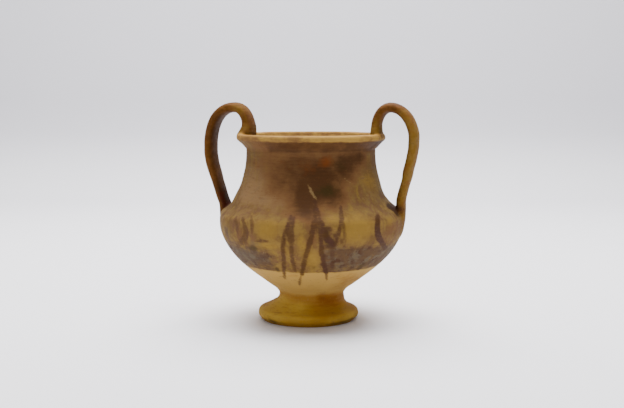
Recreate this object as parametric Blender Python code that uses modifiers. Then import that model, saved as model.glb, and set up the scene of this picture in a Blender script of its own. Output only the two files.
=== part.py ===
"""Drinking cup of fired clay with a low disc foot and two high strap handles.

The body is thrown: one turned profile runs from the middle of the bowl's floor up the inner wall,
over the rounded lip, down the outer side to the foot, and in under the foot to the axis.
The handles are flat oval straps that rise from the lip, swing out in a loop and run down into the
belly. Body and handles are one piece.

Metres, +Z up. The origin is under the middle of the foot, and the handles lie along X.
"""

import math

import bmesh
import bpy
from mathutils import Vector

# Foot and stem
FOOT_RADIUS = 0.0348
FOOT_EDGE_HEIGHT = 0.0075
FOOT_EDGE_ROUND = 0.0018
REST_RADIUS = 0.0318
REST_RING_WIDTH = 0.0085
RECESS_DEPTH = 0.0030
STEM_RADIUS = 0.0223
STEM_HEIGHT = 0.0183

# Belly, neck and lip
BELLY_RADIUS = 0.0634
BELLY_HEIGHT = 0.0710
NECK_RADIUS = 0.0443
LIP_RADIUS = 0.0511
LIP_THICKNESS = 0.0052
RIM_HEIGHT = 0.1286
NECK_DROP = 0.0108
NECK_HEIGHT = RIM_HEIGHT - NECK_DROP

# Clay
WALL = 0.0040
FLOOR_HEIGHT = 0.0262
FLOOR_CURVE_RISE = 0.0045

# Handles: their places from the rim, the lip and the belly
HANDLE_REACH = 0.0748
HANDLE_RISE = 0.0214
HANDLE_TOP_RADIUS = 0.0547
OUTERMOST_DROP = 0.0066
LIP_INSET = 0.0064
ROOT_DEPTH = 0.0078
ROOT_RISE = 0.0052
LANDING_RISE = 0.0075
LANDING_INSET = 0.0012
END_DROP = 0.0110
STRAP_WIDTH = 0.0200
STRAP_THICKNESS = 0.0070
ROOT_WIDTH = 0.0190
ROOT_THICKNESS = 0.0078
END_WIDTH = 0.0150
BURIED_SHARE = 0.75

# Smoothness of the solid
TURN_STEPS = 48
STRAP_SIDES = 12
STRAP_ROUNDNESS = 2.6
PULL = 0.38
SHARP_ANGLE = math.radians(50)
MERGE_DISTANCE = 0.00001

CLAY_COLOUR = (0.36, 0.19, 0.07, 1.0)
CLAY_ROUGHNESS = 0.7


def bend(start, start_angle, end, end_angle, steps, pull=PULL):
    """Points of one smooth curve from start to end, without the start itself.

    The angles, in degrees, give its heading at each end, in the plane of radius and height.
    """
    start, end = Vector(start), Vector(end)
    reach = (end - start).length * pull
    leave = start + reach * heading(start_angle)
    arrive = end - reach * heading(end_angle)
    points = []
    for step in range(1, steps + 1):
        t = step / steps
        s = 1.0 - t
        points.append(s**3 * start + 3 * s * s * t * leave + 3 * s * t * t * arrive + t**3 * end)
    return points


def heading(angle):
    """Unit vector at an angle in degrees."""
    return Vector((math.cos(math.radians(angle)), math.sin(math.radians(angle))))


def between(low, high, share):
    """The value that lies a share of the way from low to high."""
    return low + (high - low) * share


def outer_side():
    """Outer profile from the resting edge up to where the lip's round begins."""
    edge_middle = (FOOT_RADIUS, FOOT_EDGE_HEIGHT * 0.55)
    edge_top = (FOOT_RADIUS - FOOT_EDGE_ROUND, FOOT_EDGE_HEIGHT)
    stem = (STEM_RADIUS, STEM_HEIGHT)
    belly = (BELLY_RADIUS, BELLY_HEIGHT)
    neck = (NECK_RADIUS, NECK_HEIGHT)
    cone = (between(STEM_RADIUS, BELLY_RADIUS, 0.187), between(STEM_HEIGHT, BELLY_HEIGHT, 0.142))
    shoulder = (between(NECK_RADIUS, BELLY_RADIUS, 0.516), between(BELLY_HEIGHT, NECK_HEIGHT, 0.243))
    bead = LIP_THICKNESS / 2
    lip_root = (LIP_RADIUS - bead * 1.25, RIM_HEIGHT - bead * 2.35)

    points = [Vector((REST_RADIUS, 0.0))]
    points += bend(points[-1], 50, edge_middle, 90, 2)
    points += bend(edge_middle, 90, edge_top, 150, 2)
    points += bend(edge_top, 149, stem, 90, 5)
    points += bend(stem, 90, cone, 37, 2)
    points += bend(cone, 37, belly, 90, 8)
    points += bend(belly, 90, shoulder, 125, 4)
    points += bend(shoulder, 125, neck, 90, 6)
    points += bend(neck, 90, lip_root, 45, 3)
    return points


def lip():
    """Round of the lip, from its underside over the top to its inner side."""
    bead = LIP_THICKNESS / 2
    centre = Vector((LIP_RADIUS - bead, RIM_HEIGHT - bead))
    return [centre + bead * heading(angle) for angle in range(-50, 161, 35)]


def inner_side(outer):
    """Inner profile from the neck down to the middle of the floor, one wall inside the outer one."""
    points = [Vector((NECK_RADIUS - WALL, NECK_HEIGHT))]
    for below, here, above in zip(outer, outer[1:], outer[2:]):
        along = (above - below).normalized()
        inside = here + WALL * Vector((-along.y, along.x))
        if FLOOR_HEIGHT + FLOOR_CURVE_RISE < inside.y < NECK_HEIGHT - WALL:
            points.insert(1, inside)
    slope = math.degrees(math.atan2(points[-1].y - points[-2].y, points[-1].x - points[-2].x))
    return points + bend(points[-1], slope, (0.0, FLOOR_HEIGHT), 180, 4)


def body_profile():
    """Whole profile from the floor's middle up inside, over the lip and down to the foot's recess."""
    outer = outer_side()
    rim = lip()
    inner = inner_side(outer)
    inside_lip = bend(rim[-1], -110, inner[0], -90, 3)
    recess_edge = Vector((REST_RADIUS - REST_RING_WIDTH, 0.0))
    recess = [recess_edge] + bend(recess_edge, 125, (0.0, RECESS_DEPTH), 180, 4)
    upward = outer + rim + inside_lip + inner[1:]
    return list(reversed(upward)) + recess


def radius_at(points, height):
    """Radius where a run of profile points passes a height."""
    for low, high in zip(points, points[1:]):
        if min(low.y, high.y) <= height <= max(low.y, high.y):
            return between(low.x, high.x, (height - low.y) / (high.y - low.y))
    raise ValueError(f"no profile point at height {height}")


def wall_middle(height):
    """Point in the middle of the body's wall at a height."""
    outer = outer_side()
    inner = bend(lip()[-1], -110, inner_side(outer)[0], -90, 3) + inner_side(outer)
    return Vector((between(radius_at(inner, height), radius_at(outer, height), 0.5), height))


def strap_stations():
    """Middle line of a handle with the strap's width and thickness at each point."""
    root = wall_middle(RIM_HEIGHT - ROOT_DEPTH)
    on_lip = Vector((LIP_RADIUS - LIP_INSET, RIM_HEIGHT))
    risen = on_lip + Vector((0.0001, ROOT_RISE))
    top = (HANDLE_TOP_RADIUS, RIM_HEIGHT + HANDLE_RISE - STRAP_THICKNESS / 2)
    outer = (HANDLE_REACH - STRAP_THICKNESS / 2, RIM_HEIGHT - OUTERMOST_DROP)
    landing = (BELLY_RADIUS - LANDING_INSET, BELLY_HEIGHT + LANDING_RISE)
    end = wall_middle(BELLY_HEIGHT - END_DROP)
    buried = WALL * BURIED_SHARE

    runs = [
        (bend(root, 80, on_lip, 88, 2), ROOT_WIDTH, ROOT_THICKNESS),
        (bend(on_lip, 88, risen, 84, 2), ROOT_WIDTH, STRAP_THICKNESS),
        (bend(risen, 84, top, 0, 7), STRAP_WIDTH, STRAP_THICKNESS),
        (bend(top, 0, outer, -90, 8), STRAP_WIDTH, STRAP_THICKNESS),
        (bend(outer, -90, landing, -92, 7), STRAP_WIDTH, STRAP_THICKNESS),
        (bend(landing, -92, end, -112, 4), END_WIDTH, buried),
    ]
    width, thickness = ROOT_WIDTH, buried
    stations = [(root, width, thickness)]
    for points, last_width, last_thickness in runs:
        for number, point in enumerate(points, 1):
            share = number / len(points)
            wide = between(width, last_width, share)
            thick = between(thickness, last_thickness, share)
            stations.append((point, wide, thick))
        width, thickness = last_width, last_thickness
    return stations


def new_object(name, mesh, collection):
    """Put a mesh in the scene as a named object."""
    thing = bpy.data.objects.new(name, mesh)
    collection.objects.link(thing)
    return thing


def turned_body(name, collection):
    """The body: its profile turned about the axis by a Screw modifier."""
    points = body_profile()
    mesh = bpy.data.meshes.new(name)
    mesh.from_pydata(
        [(point.x, 0.0, point.y) for point in points],
        [(number, number + 1) for number in range(len(points) - 1)],
        [],
    )
    body = new_object(name, mesh, collection)
    screw = body.modifiers.new("Turn", "SCREW")
    screw.steps = TURN_STEPS
    screw.render_steps = TURN_STEPS
    screw.use_merge_vertices = True
    screw.merge_threshold = MERGE_DISTANCE
    screw.use_smooth_shade = True
    return body


def rounded(angle, exponent):
    """Cosine and sine of an oval that is squarer than a circle."""
    cosine, sine = math.cos(angle), math.sin(angle)
    power = 2.0 / exponent
    return math.copysign(abs(cosine) ** power, cosine), math.copysign(abs(sine) ** power, sine)


def strap_handle(name, side, collection):
    """One handle: a loft through oval sections of changing width. side is 1 for +X and -1 for -X."""
    stations = strap_stations()
    shape = bmesh.new()
    rings = []
    for number, (middle, width, thickness) in enumerate(stations):
        before = stations[max(number - 1, 0)][0]
        after = stations[min(number + 1, len(stations) - 1)][0]
        along = (after - before).normalized()
        across = Vector((along.y, -along.x))
        ring = []
        for corner in range(STRAP_SIDES):
            wide, thick = rounded(math.tau * corner / STRAP_SIDES, STRAP_ROUNDNESS)
            spot = middle + across * thick * thickness / 2
            ring.append(shape.verts.new((side * spot.x, wide * width / 2, spot.y)))
        rings.append(ring)
    for ring, following in zip(rings, rings[1:]):
        for corner in range(STRAP_SIDES):
            beside = (corner + 1) % STRAP_SIDES
            shape.faces.new((ring[corner], ring[beside], following[beside], following[corner]))
    shape.faces.new(rings[0])
    shape.faces.new(rings[-1])
    bmesh.ops.recalc_face_normals(shape, faces=shape.faces)
    mesh = bpy.data.meshes.new(name)
    shape.to_mesh(mesh)
    shape.free()
    mesh.shade_smooth()
    mesh.set_sharp_from_angle(angle=SHARP_ANGLE)
    handle = new_object(name, mesh, collection)
    handle.hide_render = True
    handle.display_type = "WIRE"
    return handle


def join(body, handle):
    """Fuse a handle to the body."""
    union = body.modifiers.new(f"Join {handle.name}", "BOOLEAN")
    union.operation = "UNION"
    union.solver = "EXACT"
    union.object = handle


def fired_clay():
    """The cup's clay as one plain material."""
    material = bpy.data.materials.new("fired_clay")
    material.use_nodes = True
    shader = material.node_tree.nodes["Principled BSDF"]
    shader.inputs["Base Color"].default_value = CLAY_COLOUR
    shader.inputs["Roughness"].default_value = CLAY_ROUGHNESS
    shader.inputs["Metallic"].default_value = 0.0
    return material


def new_collection(name):
    """A collection linked to the scene."""
    collection = bpy.data.collections.new(name)
    bpy.context.scene.collection.children.link(collection)
    return collection


def main():
    """Model the cup."""
    for thing in list(bpy.data.objects):
        bpy.data.objects.remove(thing, do_unlink=True)
    parts = new_collection("drinking_cup")
    joined = new_collection("joined_shapes")
    cup = turned_body("cup", parts)
    for name, side in (("handle_right", 1), ("handle_left", -1)):
        join(cup, strap_handle(name, side, joined))
    cup.data.materials.append(fired_clay())


main()
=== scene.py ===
"""Looks of a two-handled drinking cup of worn painted clay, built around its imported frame.

The cup is one fired piece. Its body is a surface of revolution that the wheel and the hand left a
little uneven, and its handles are oval straps carried along a path. Both are worked out with numpy
in millimetres, united, softened where they meet, and stand for the frame's solid in metres.
"""

import logging
import math
from dataclasses import dataclass, field
from enum import Enum
from typing import Any

import bpy
import numpy as np
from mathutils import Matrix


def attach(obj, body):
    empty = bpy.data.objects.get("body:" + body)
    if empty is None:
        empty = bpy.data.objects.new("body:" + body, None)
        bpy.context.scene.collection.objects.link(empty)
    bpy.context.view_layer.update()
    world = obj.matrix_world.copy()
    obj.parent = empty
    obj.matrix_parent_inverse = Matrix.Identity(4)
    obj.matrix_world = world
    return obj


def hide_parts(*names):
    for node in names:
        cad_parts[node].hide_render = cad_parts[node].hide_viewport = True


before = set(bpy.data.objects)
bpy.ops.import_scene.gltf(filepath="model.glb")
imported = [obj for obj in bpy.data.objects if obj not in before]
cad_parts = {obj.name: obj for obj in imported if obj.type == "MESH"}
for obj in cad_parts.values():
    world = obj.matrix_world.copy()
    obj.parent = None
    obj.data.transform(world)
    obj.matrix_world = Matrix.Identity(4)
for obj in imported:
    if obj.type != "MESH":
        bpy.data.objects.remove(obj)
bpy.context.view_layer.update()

LOG = logging.getLogger("drinking_cup")
MM = 0.001
# Share of a curve's span at which its inner points lie
PULL = 0.38
# Degrees that the camera stands round from the cup's front
CAMERA_TURN = 12.0
# Millimetres given to a point that is nowhere near a strap
FAR = 9.0
# Depth in millimetres given to a point that no stroke is near
NO_PAINT = -6.0

Array = np.ndarray


def heading(angle: float) -> Array:
    """Unit vector at an angle in degrees in the plane of radius and height."""
    return np.array([math.cos(math.radians(angle)), math.sin(math.radians(angle))])


def bend(start: Array, start_angle: float, end: Array, end_angle: float, count: int = 24) -> Array:
    """Cubic curve between two points with a given heading at each end.

    P(t) = (1-t)^3 A + 3 (1-t)^2 t B + 3 (1-t) t^2 C + t^3 D, where B and C lie on the headings.

    Args:
        start: First point, radius and height.
        start_angle: Heading at the first point, in degrees.
        end: Last point.
        end_angle: Heading at the last point, in degrees.
        count: Number of points after the first.

    Returns:
        Points without the first one, one row each.
    """
    start, end = np.asarray(start, float), np.asarray(end, float)
    reach = np.linalg.norm(end - start) * PULL
    leave = start + reach * heading(start_angle)
    arrive = end - reach * heading(end_angle)
    t = np.linspace(0.0, 1.0, count + 1)[1:, None]
    s = 1.0 - t
    return s**3 * start + 3 * s * s * t * leave + 3 * s * t * t * arrive + t**3 * end


def smoothstep(low: float, high: float, value: Array) -> Array:
    """0 below low, 1 above high, and 3t^2 - 2t^3 between."""
    t = np.clip((value - low) / (high - low), 0.0, 1.0)
    return t * t * (3.0 - 2.0 * t)


def mix(low: Any, high: Any, share: Any) -> Any:
    """The value that lies a share of the way from low to high."""
    return low + (high - low) * share


def eased(at: Array, stops: tuple, values: tuple) -> Array:
    """Values at stops, joined by smooth steps: v0 + (v1 - v0)(3t^2 - 2t^3) between two stops.

    Args:
        at: Places asked for.
        stops: Places where the value is given, rising.
        values: Value at each stop.

    Returns:
        Value at each place, held beyond the first and the last stop.
    """
    stops, values = np.array(stops, float), np.array(values, float)
    before = np.clip(np.searchsorted(stops, at, side="right") - 1, 0, len(stops) - 2)
    t = np.clip((at - stops[before]) / (stops[before + 1] - stops[before]), 0.0, 1.0)
    return mix(values[before], values[before + 1], t * t * (3.0 - 2.0 * t))


def arc_lengths(points: Array) -> Array:
    """Length along a run of points, from 0 at the first."""
    return np.concatenate([[0.0], np.cumsum(np.linalg.norm(np.diff(points, axis=0), axis=1))])


def along_and_across(path: Array) -> tuple[Array, Array]:
    """Directions of a run of points, from the difference of each point's neighbours.

    Args:
        path: Points, radius and height.

    Returns:
        Unit vectors along the run, and across it to the right of the way it goes.
    """
    along = np.gradient(path, axis=0)
    along /= np.linalg.norm(along, axis=1)[:, None]
    return along, np.column_stack([along[:, 1], -along[:, 0]])


def grid_corners(rings: int, sides: int) -> tuple[Array, Array, Array, Array]:
    """Corners of the quads on a grid that closes round.

    Args:
        rings: Number of rings.
        sides: Number of points on each ring.

    Returns:
        Numbers of the point itself, of the one on the next ring, of the one beside that, and of the
        one beside the point itself.
    """
    ring = np.arange(rings - 1)[:, None] * sides
    side = np.arange(sides)[None]
    beside = (side + 1) % sides
    return ring + side, ring + sides + side, ring + sides + beside, ring + beside


def facing(points: Array) -> tuple[Array, Array]:
    """Where points stand round the axis, as the camera sees it.

    turn = atan2(p . right, p . front) with right and front the camera's level directions.

    Args:
        points: Places in millimetres, one row each.

    Returns:
        Turn in degrees from the side that faces the camera, positive to its right, and radius.
    """
    angle = math.radians(CAMERA_TURN)
    along_right = points[:, 0] * math.cos(angle) + points[:, 1] * math.sin(angle)
    along_front = points[:, 0] * math.sin(angle) - points[:, 1] * math.cos(angle)
    return np.degrees(np.arctan2(along_right, along_front)), np.hypot(along_right, along_front)


def waves(points: Array, length: float, seed: int, count: int = 9) -> Array:
    """Smooth uneven field: 1.6 times the mean of plane sine waves, mostly within -1 and 1.

    Args:
        points: Places in millimetres, one row each.
        length: Length of a middling wave in millimetres.
        seed: Seed of the waves' directions, lengths and phases.
        count: Number of waves.

    Returns:
        The field at each place.
    """
    rng = np.random.default_rng(seed)
    directions = rng.normal(size=(count, 3))
    directions /= np.linalg.norm(directions, axis=1)[:, None]
    pitch = length * rng.uniform(0.7, 1.5, count)
    phase = rng.uniform(0.0, math.tau, count)
    return np.sin(points @ (directions / pitch[:, None] * math.tau).T + phase).mean(axis=1) * 1.6


@dataclass(frozen=True)
class MeshData:
    """Vertices in millimetres and faces of one closed surface."""

    vertices: Array
    faces: list

    def outward(self) -> "MeshData":
        """Turn the faces outwards, by the sign of the sum of a . (b x c) / 6 over triangles and quads.

        Returns:
            The same surface with its faces outwards.
        """
        volume = 0.0
        for face in (np.array([f for f in self.faces if len(f) == n]) for n in (3, 4)):
            if len(face):
                corners = self.vertices[face]
                for last in range(2, face.shape[1]):
                    a, b, c = corners[:, 0], corners[:, last - 1], corners[:, last]
                    volume += np.einsum("ij,ij->", a, np.cross(b, c)) / 6.0
        if volume > 0.0:
            return self
        return MeshData(self.vertices, [face[::-1] for face in self.faces])

    def build(self, name: str) -> bpy.types.Object:
        """Make the surface an object in metres and link it to the scene.

        Args:
            name: Name of the object and of its mesh.

        Returns:
            The object.
        """
        mesh = bpy.data.meshes.new(name)
        mesh.from_pydata((self.vertices * MM).tolist(), [], self.faces)
        thing = bpy.data.objects.new(name, mesh)
        bpy.context.scene.collection.objects.link(thing)
        return thing


@dataclass(frozen=True)
class Body:
    """The thrown body, in millimetres: one profile turned about the axis."""

    foot_radius: float = 34.8
    foot_edge_height: float = 7.8
    foot_edge_round: float = 1.8
    rest_radius: float = 31.8
    rest_ring_width: float = 8.5
    recess_depth: float = 3.0
    stem_radius: float = 22.3
    stem_height: float = 18.3
    belly_radius: float = 63.4
    belly_height: float = 71.0
    cone_out: float = 0.187
    cone_up: float = 0.142
    shoulder_out: float = 0.516
    shoulder_up: float = 0.243
    neck_radius: float = 44.3
    neck_drop: float = 10.8
    lip_radius: float = 51.1
    lip_thickness: float = 5.2
    rim_height: float = 128.6
    wall: float = 4.0
    floor_height: float = 26.2
    floor_curve_rise: float = 4.5
    profile_rings: int = 312
    turn_steps: int = 256

    @property
    def neck_height(self) -> float:
        """Height of the narrowest part of the neck."""
        return self.rim_height - self.neck_drop

    def outer_side(self) -> Array:
        """Outer profile: cubic curves over foot, stem, belly, shoulder and neck.

        Returns:
            Points from the resting edge up to the lip's underside, radius and height.
        """
        edge_middle = (self.foot_radius, self.foot_edge_height * 0.55)
        edge_top = (self.foot_radius - self.foot_edge_round, self.foot_edge_height)
        stem = (self.stem_radius, self.stem_height)
        belly = (self.belly_radius, self.belly_height)
        neck = (self.neck_radius, self.neck_height)
        cone = (
            mix(self.stem_radius, self.belly_radius, self.cone_out),
            mix(self.stem_height, self.belly_height, self.cone_up),
        )
        shoulder = (
            mix(self.neck_radius, self.belly_radius, self.shoulder_out),
            mix(self.belly_height, self.neck_height, self.shoulder_up),
        )
        bead = self.lip_thickness / 2
        lip_root = (self.lip_radius - bead * 1.25, self.rim_height - bead * 2.35)
        rest = np.array([[self.rest_radius, 0.0]])
        spans = [
            rest,
            bend(rest[0], 50, edge_middle, 90),
            bend(edge_middle, 90, edge_top, 152),
            bend(edge_top, 157, stem, 90),
            bend(stem, 90, cone, 37),
            bend(cone, 37, belly, 90, 60),
            bend(belly, 90, shoulder, 125),
            bend(shoulder, 125, neck, 90, 48),
            bend(neck, 90, lip_root, 45),
        ]
        return np.vstack(spans)

    def lip(self) -> Array:
        """Round of the lip: the arc c + b (cos a, sin a), with b half the lip's thickness.

        Returns:
            Points from its underside over the top to its inner side.
        """
        bead = self.lip_thickness / 2
        centre = np.array([self.lip_radius - bead, self.rim_height - bead])
        angles = np.radians(np.linspace(-50.0, 160.0, 40))
        return centre + bead * np.column_stack([np.cos(angles), np.sin(angles)])

    def inner_side(self) -> Array:
        """Inner profile: the outer one moved in by the wall, curved to the lip and to the floor.

        Returns:
            Points from the lip down to the middle of the floor.
        """
        outer = self.outer_side()
        inside = outer - self.wall * along_and_across(outer)[1]
        low, high = self.floor_height + self.floor_curve_rise, self.neck_height - self.wall
        inside = inside[(inside[:, 1] > low) & (inside[:, 1] < high)][::-1]
        neck = np.array([self.neck_radius - self.wall, self.neck_height])
        under_lip = bend(self.lip()[-1], -110, neck, -90)
        down = inside[-1] - inside[-4]
        slope = math.degrees(math.atan2(down[1], down[0]))
        return np.vstack([under_lip, inside, bend(inside[-1], slope, (0.0, self.floor_height), 180)])

    def underside(self) -> Array:
        """Profile under the foot: the flat resting ring and a curve up into the shallow recess.

        Returns:
            Points from the resting edge inwards to the axis.
        """
        edge = np.array([self.rest_radius - self.rest_ring_width, 0.0])
        ring = np.linspace([self.rest_radius, 0.0], edge, 8)[1:]
        return np.vstack([ring, bend(edge, 125, (0.0, self.recess_depth), 180)])

    def profile(self) -> Array:
        """Whole profile from the floor's middle, over the lip and down to the recess's middle.

        The points are spread by length, closer where the profile turns: step ~ 1 / (1 + 6 k).

        Returns:
            Points, radius and height, as many as there are rings.
        """
        upward = np.vstack([self.outer_side(), self.lip(), self.inner_side()])
        points = np.vstack([upward[::-1], self.underside()])
        length = arc_lengths(points)
        points = points[np.concatenate([[True], np.diff(length) > 1e-6])]
        length = arc_lengths(points)
        along = np.gradient(points, length, axis=0)
        turning = np.linalg.norm(np.gradient(along, length, axis=0), axis=1)
        turning = np.convolve(turning, np.ones(5) / 5, mode="same")
        crowding = 1.0 + 6.0 * np.clip(turning, 0.0, 0.5)
        weighted = np.diff(length) * (crowding[1:] + crowding[:-1]) / 2
        spread = np.concatenate([[0.0], np.cumsum(weighted)])
        steps = np.linspace(0.0, spread[-1], self.profile_rings)
        return np.column_stack([np.interp(steps, spread, points[:, axis]) for axis in (0, 1)])

    def surface(self) -> MeshData:
        """The turned surface: (r cos a, r sin a, z) over the profile and the full turn.

        Returns:
            The surface, closed by a fan of triangles at each pole.
        """
        profile = self.profile()[1:-1]
        angle = np.linspace(0.0, math.tau, self.turn_steps, endpoint=False)
        grid = np.stack(
            [
                profile[:, :1] * np.cos(angle),
                profile[:, :1] * np.sin(angle),
                np.repeat(profile[:, 1:], self.turn_steps, axis=1),
            ],
            axis=-1,
        ).reshape(-1, 3)
        poles = np.array([[0.0, 0.0, self.floor_height], [0.0, 0.0, self.recess_depth]])
        steps = self.turn_steps
        quads = np.stack(grid_corners(len(profile), steps), axis=-1).reshape(-1, 4)
        here = np.arange(steps)
        beside = (here + 1) % steps
        last_ring = (len(profile) - 1) * steps
        pole = np.full(steps, len(grid))
        floor_fan = np.column_stack([pole, here, beside])
        recess_fan = np.column_stack([pole + 1, last_ring + beside, last_ring + here])
        faces = quads.tolist() + floor_fan.tolist() + recess_fan.tolist()
        return MeshData(np.vstack([grid, poles]), faces).outward()


@dataclass(frozen=True)
class Handle:
    """One strap handle, in millimetres: an oval section carried along a path from lip to belly."""

    body: Body
    side: int
    reach: float = 74.8
    rise: float = 21.4
    top_radius: float = 54.7
    outermost_drop: float = 6.6
    lip_inset: float = 6.4
    root_depth: float = 7.8
    root_rise: float = 5.2
    landing_rise: float = 7.5
    landing_inset: float = 1.2
    end_drop: float = 11.0
    strap_width: float = 20.0
    strap_thickness: float = 7.0
    root_width: float = 19.0
    root_thickness: float = 7.8
    landing_width: float = 15.5
    landing_thickness: float = 6.6
    end_width: float = 12.0
    buried_thickness: float = 3.0
    splay_width: float = 6.0
    splay_thickness: float = 2.4
    splay_shift: float = 0.5
    splay_reach: float = 5.5
    roundness: float = 2.5
    path_rings: int = 130
    section_sides: int = 36

    def wall_middle(self, height: float) -> Array:
        """Middle of the body's wall: half way between its outer and its inner side.

        Args:
            height: Height in millimetres.

        Returns:
            Radius and height.
        """
        outer, inner = self.body.outer_side(), self.body.inner_side()
        outside = np.interp(height, outer[:, 1], outer[:, 0])
        inside = np.interp(height, inner[::-1, 1], inner[::-1, 0])
        return np.array([(outside + inside) / 2, height])

    def stations(self) -> tuple[Array, Array, Array]:
        """Path of the strap's middle with its width and thickness, even in length.

        Returns:
            Path points, widths and thicknesses, one for each ring of the strap.
        """
        rim, thick = self.body.rim_height, self.strap_thickness
        root = self.wall_middle(rim - self.root_depth)
        on_lip = np.array([self.body.lip_radius - self.lip_inset, rim])
        risen = on_lip + (0.1, self.root_rise)
        top = (self.top_radius, rim + self.rise - thick / 2)
        outermost = (self.reach - thick / 2, rim - self.outermost_drop)
        landing = (
            self.body.belly_radius - self.landing_inset,
            self.body.belly_height + self.landing_rise,
        )
        end = self.wall_middle(self.body.belly_height - self.end_drop)
        runs = [
            (bend(root, 80, on_lip, 88), self.root_width, self.root_thickness),
            (bend(on_lip, 88, risen, 84), self.root_width, thick),
            (bend(risen, 84, top, 0), self.strap_width, thick),
            (bend(top, 0, outermost, -90), self.strap_width, thick),
            (bend(outermost, -90, landing, -92), self.landing_width, self.landing_thickness),
            (bend(landing, -92, end, -112), self.end_width, self.buried_thickness),
        ]
        path, widths, thicknesses = [root[None]], [[self.root_width]], [[self.buried_thickness]]
        for points, width, thickness in runs:
            share = smoothstep(0.0, 1.0, np.linspace(0.0, 1.0, len(points) + 1)[1:])
            path.append(points)
            widths.append(mix(widths[-1][-1], width, share))
            thicknesses.append(mix(thicknesses[-1][-1], thickness, share))
        points = np.vstack(path)
        length = arc_lengths(points)
        steps = np.linspace(0.0, length[-1], self.path_rings)
        even = np.column_stack([np.interp(steps, length, points[:, axis]) for axis in (0, 1)])
        over_rim = even[:, 1] - rim
        above = np.maximum(over_rim, 0.0) / self.splay_reach
        splay = np.exp(-(above**2)) * smoothstep(-6.0, -1.0, over_rim) * (steps < length[-1] / 4)
        even[:, 0] += self.splay_shift * splay
        return (
            even,
            np.interp(steps, length, np.concatenate(widths)) + self.splay_width * splay,
            np.interp(steps, length, np.concatenate(thicknesses)) + self.splay_thickness * splay,
        )

    def surface(self) -> MeshData:
        """The strap's surface, an oval section on each point c of the path.

        c + n h/2 sgn(sin a) |sin a|^(2/k) + y w/2 sgn(cos a) |cos a|^(2/k), with n across the path.

        Returns:
            The surface, closed by a flat face at each end.
        """
        path, width, thickness = self.stations()
        _, across = along_and_across(path)
        angle = np.linspace(0.0, math.tau, self.section_sides, endpoint=False)
        power = 2.0 / self.roundness
        wide = np.sign(np.cos(angle)) * np.abs(np.cos(angle)) ** power
        thick = np.sign(np.sin(angle)) * np.abs(np.sin(angle)) ** power
        spot = path[:, None] + across[:, None] * (thick[None, :, None] * thickness[:, None, None] / 2)
        sideways = wide[None] * width[:, None] / 2
        grid = np.stack([self.side * spot[..., 0], sideways, spot[..., 1]], axis=-1).reshape(-1, 3)
        sides = self.section_sides
        here, above, diagonal, beside = grid_corners(len(path), sides)
        quads = np.stack([here, beside, diagonal, above], axis=-1).reshape(-1, 4)
        last = (len(path) - 1) * sides
        caps = [list(range(sides - 1, -1, -1)), list(range(last, last + sides))]
        return MeshData(grid, quads.tolist() + caps).outward()

    def nearest(self, points: Array) -> tuple[Array, Array, Array]:
        """Where points lie on the strap.

        Args:
            points: Places in millimetres, one row each.

        Returns:
            Distance outside the strap's surface, share of the path passed, and side of the strap
            from -1 on its outer face to 1 on the face towards the loop, for each point.
        """
        path, width, thickness = self.stations()
        along, across = along_and_across(path)
        flat = np.column_stack([self.side * points[:, 0], points[:, 2]])
        gap = ((flat[:, None] - path[None]) ** 2).sum(axis=2)
        ring = gap.argmin(axis=1)
        offset = flat - path[ring]
        thick = (offset * across[ring]).sum(axis=1) / (thickness[ring] / 2)
        wide = points[:, 1] / (width[ring] / 2)
        power = self.roundness
        size = (np.abs(thick) ** power + np.abs(wide) ** power) ** (1 / power)
        reach = np.where(np.abs(wide) > np.abs(thick), width[ring], thickness[ring]) / 2
        outside = np.where(np.abs((offset * along[ring]).sum(axis=1)) > 2.0, FAR, (size - 1.0) * reach)
        length = arc_lengths(path)
        return outside, length[ring] / length[-1], np.clip(thick, -1.0, 1.0)


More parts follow.
